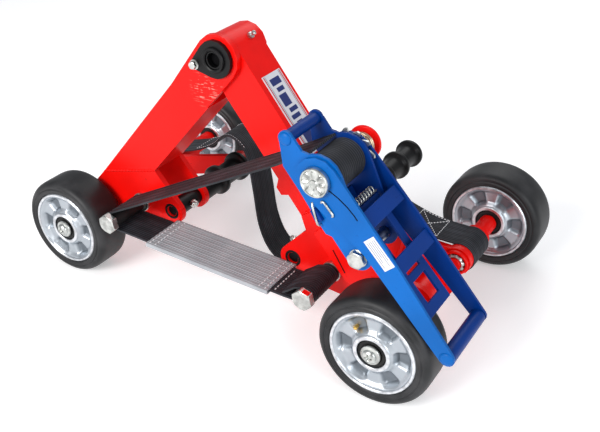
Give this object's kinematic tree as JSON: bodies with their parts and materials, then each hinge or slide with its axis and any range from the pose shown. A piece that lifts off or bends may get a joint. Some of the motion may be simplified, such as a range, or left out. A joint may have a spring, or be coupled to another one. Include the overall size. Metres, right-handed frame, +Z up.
{
  "type": "hinged wheel dolly",
  "caption": "Hinged wheel dolly: two legs on fixed wheels, drawn together by a ratchet strap so that rows of spool rollers close under a vehicle's tyre and lift it.",
  "frame": {"origin": "centre of the dolly's bounding box, on the floor", "axes": "+X from the left axle to the right axle, +Y from the hinged legs to the far wheels, +Z up"},
  "size_m": [0.604, 0.4144, 0.3275],
  "materials": {
    "red_paint": "gloss",
    "blue_paint": "gloss",
    "zinc_steel": "bright zinc",
    "cast_aluminium": "turned and polished",
    "black_coated_steel": "satin",
    "tyre_rubber": "matte",
    "black_webbing": "woven",
    "grey_sleeve": "woven",
    "white_label": "satin"
  },
  "bodies": {
    "right_frame": {"right_leg": "red_paint", "grease_nipple": "zinc_steel", "right_foot_plate": "red_paint", "right_rear_plate": "red_paint", "right_axle_tube": "red_paint", "right_near_axle_bolt": "zinc_steel", "right_far_arm": "red_paint", "right_far_axle": "red_paint", "right_far_nut": "zinc_steel", "right_roller_shaft": "black_coated_steel", "right_spacer_tube": "black_coated_steel", "right_cap_nut": "zinc_steel", "right_strap_pin": "zinc_steel", "ratchet_near_plate": "blue_paint", "ratchet_far_plate": "blue_paint", "ratchet_grip": "blue_paint", "ratchet_bracket": "red_paint", "anchor_bolt": "zinc_steel", "leg_label": "white_label", "ratchet_strap": "black_webbing", "strap_sleeve": "grey_sleeve", "sling_strap": "black_webbing"},
    "left_frame": {"left_leg": "red_paint", "hinge_pin": "zinc_steel", "keeper_plate": "black_coated_steel", "keeper_bolt": "zinc_steel", "left_foot_plate": "red_paint", "left_rear_plate": "red_paint", "left_near_axle_bolt": "zinc_steel", "left_far_arm": "red_paint", "left_far_axle": "red_paint", "left_far_nut": "zinc_steel", "left_roller_shaft": "black_coated_steel", "left_spacer_tube": "black_coated_steel", "left_cap_nut": "zinc_steel", "left_strap_pin": "zinc_steel"},
    "near_left_wheel": {"near_left_tyre": "tyre_rubber", "near_left_rim": "cast_aluminium"},
    "near_right_wheel": {"near_right_tyre": "tyre_rubber", "near_right_rim": "cast_aluminium"},
    "far_left_wheel": {"far_left_tyre": "tyre_rubber", "far_left_rim": "cast_aluminium"},
    "far_right_wheel": {"far_right_tyre": "tyre_rubber", "far_right_rim": "cast_aluminium"},
    "left_near_spool": {"left_roller_near": "black_coated_steel"},
    "left_far_spool": {"left_roller_far": "black_coated_steel"},
    "right_near_spool": {"right_roller_near": "black_coated_steel"},
    "right_far_spool": {"right_roller_far": "black_coated_steel"},
    "take_up_shaft": {"mandrel": "zinc_steel", "ratchet_wheel": "zinc_steel", "wound_webbing": "black_webbing", "release_spring": "zinc_steel"},
    "knob": {"release_knob": "red_paint"},
    "lever": {"lever_near_arm": "blue_paint", "lever_far_arm": "blue_paint", "lever_grip": "blue_paint", "lever_upper_plate": "blue_paint", "lever_lower_plate": "blue_paint"},
    "lever_slide": {"lever_pawl": "blue_paint"},
    "base_slide": {"base_pawl": "blue_paint"}
  },
  "joints": [
    {"name": "frame_hinge", "type": "hinge", "parent": "right_frame", "child": "left_frame", "pos_m": [-0.01102, -0.07375, 0.301], "axis": [0, 1, 0], "range_deg": [-6, 22], "deforming": ["ratchet_strap", "sling_strap", "strap_sleeve"]},
    {"name": "near_left_spin", "type": "hinge", "parent": "left_frame", "child": "near_left_wheel", "pos_m": [-0.23952, -0.13375, 0.0625], "axis": [0, 1, 0], "continuous": true},
    {"name": "far_left_spin", "type": "hinge", "parent": "left_frame", "child": "far_left_wheel", "pos_m": [-0.23952, 0.16925, 0.0625], "axis": [0, 1, 0], "continuous": true},
    {"name": "near_right_spin", "type": "hinge", "parent": "right_frame", "child": "near_right_wheel", "pos_m": [0.21748, -0.17475, 0.0625], "axis": [0, 1, 0], "continuous": true},
    {"name": "far_right_spin", "type": "hinge", "parent": "right_frame", "child": "far_right_wheel", "pos_m": [0.22498, 0.11625, 0.0625], "axis": [0, 1, 0], "continuous": true},
    {"name": "left_near_spool_spin", "type": "hinge", "parent": "left_frame", "child": "left_near_spool", "pos_m": [-0.10472, -0.00575, 0.094], "axis": [0, 1, 0], "continuous": true},
    {"name": "left_far_spool_spin", "type": "hinge", "parent": "left_frame", "child": "left_far_spool", "pos_m": [-0.10472, 0.12525, 0.094], "axis": [0, 1, 0], "continuous": true},
    {"name": "right_near_spool_spin", "type": "hinge", "parent": "right_frame", "child": "right_near_spool", "pos_m": [0.06848, -0.02475, 0.077], "axis": [0, 1, 0], "continuous": true},
    {"name": "right_far_spool_spin", "type": "hinge", "parent": "right_frame", "child": "right_far_spool", "pos_m": [0.06848, 0.10025, 0.077], "axis": [0, 1, 0], "continuous": true},
    {"name": "take_up_turn", "type": "hinge", "parent": "right_frame", "child": "take_up_shaft", "pos_m": [0.16198, -0.16315, 0.2385], "axis": [0, 1, 0], "continuous": true},
    {"name": "knob_press", "type": "slide", "parent": "take_up_shaft", "child": "knob", "axis": [0, -1, 0], "range_m": [0, 0.008], "stiffness_N_per_m": 400, "springref_m": -0.004, "deforming": ["release_spring"]},
    {"name": "lever_swing", "type": "hinge", "parent": "right_frame", "child": "lever", "pos_m": [0.16198, -0.16315, 0.2385], "axis": [0, -1, 0], "range_deg": [0, 140]},
    {"name": "lever_slide_pull", "type": "slide", "parent": "lever", "child": "lever_slide", "axis": [0.6388, 0, -0.7694], "range_m": [0, 0.01], "stiffness_N_per_m": 400, "springref_m": -0.004},
    {"name": "base_slide_press", "type": "slide", "parent": "right_frame", "child": "base_slide", "axis": [0.4767, 0, -0.879], "range_m": [0, 0.006], "stiffness_N_per_m": 400, "springref_m": -0.004}
  ],
  "couplings": [
    {"joint": "take_up_turn", "follows": "frame_hinge", "ratio": -16.7}
  ]
}
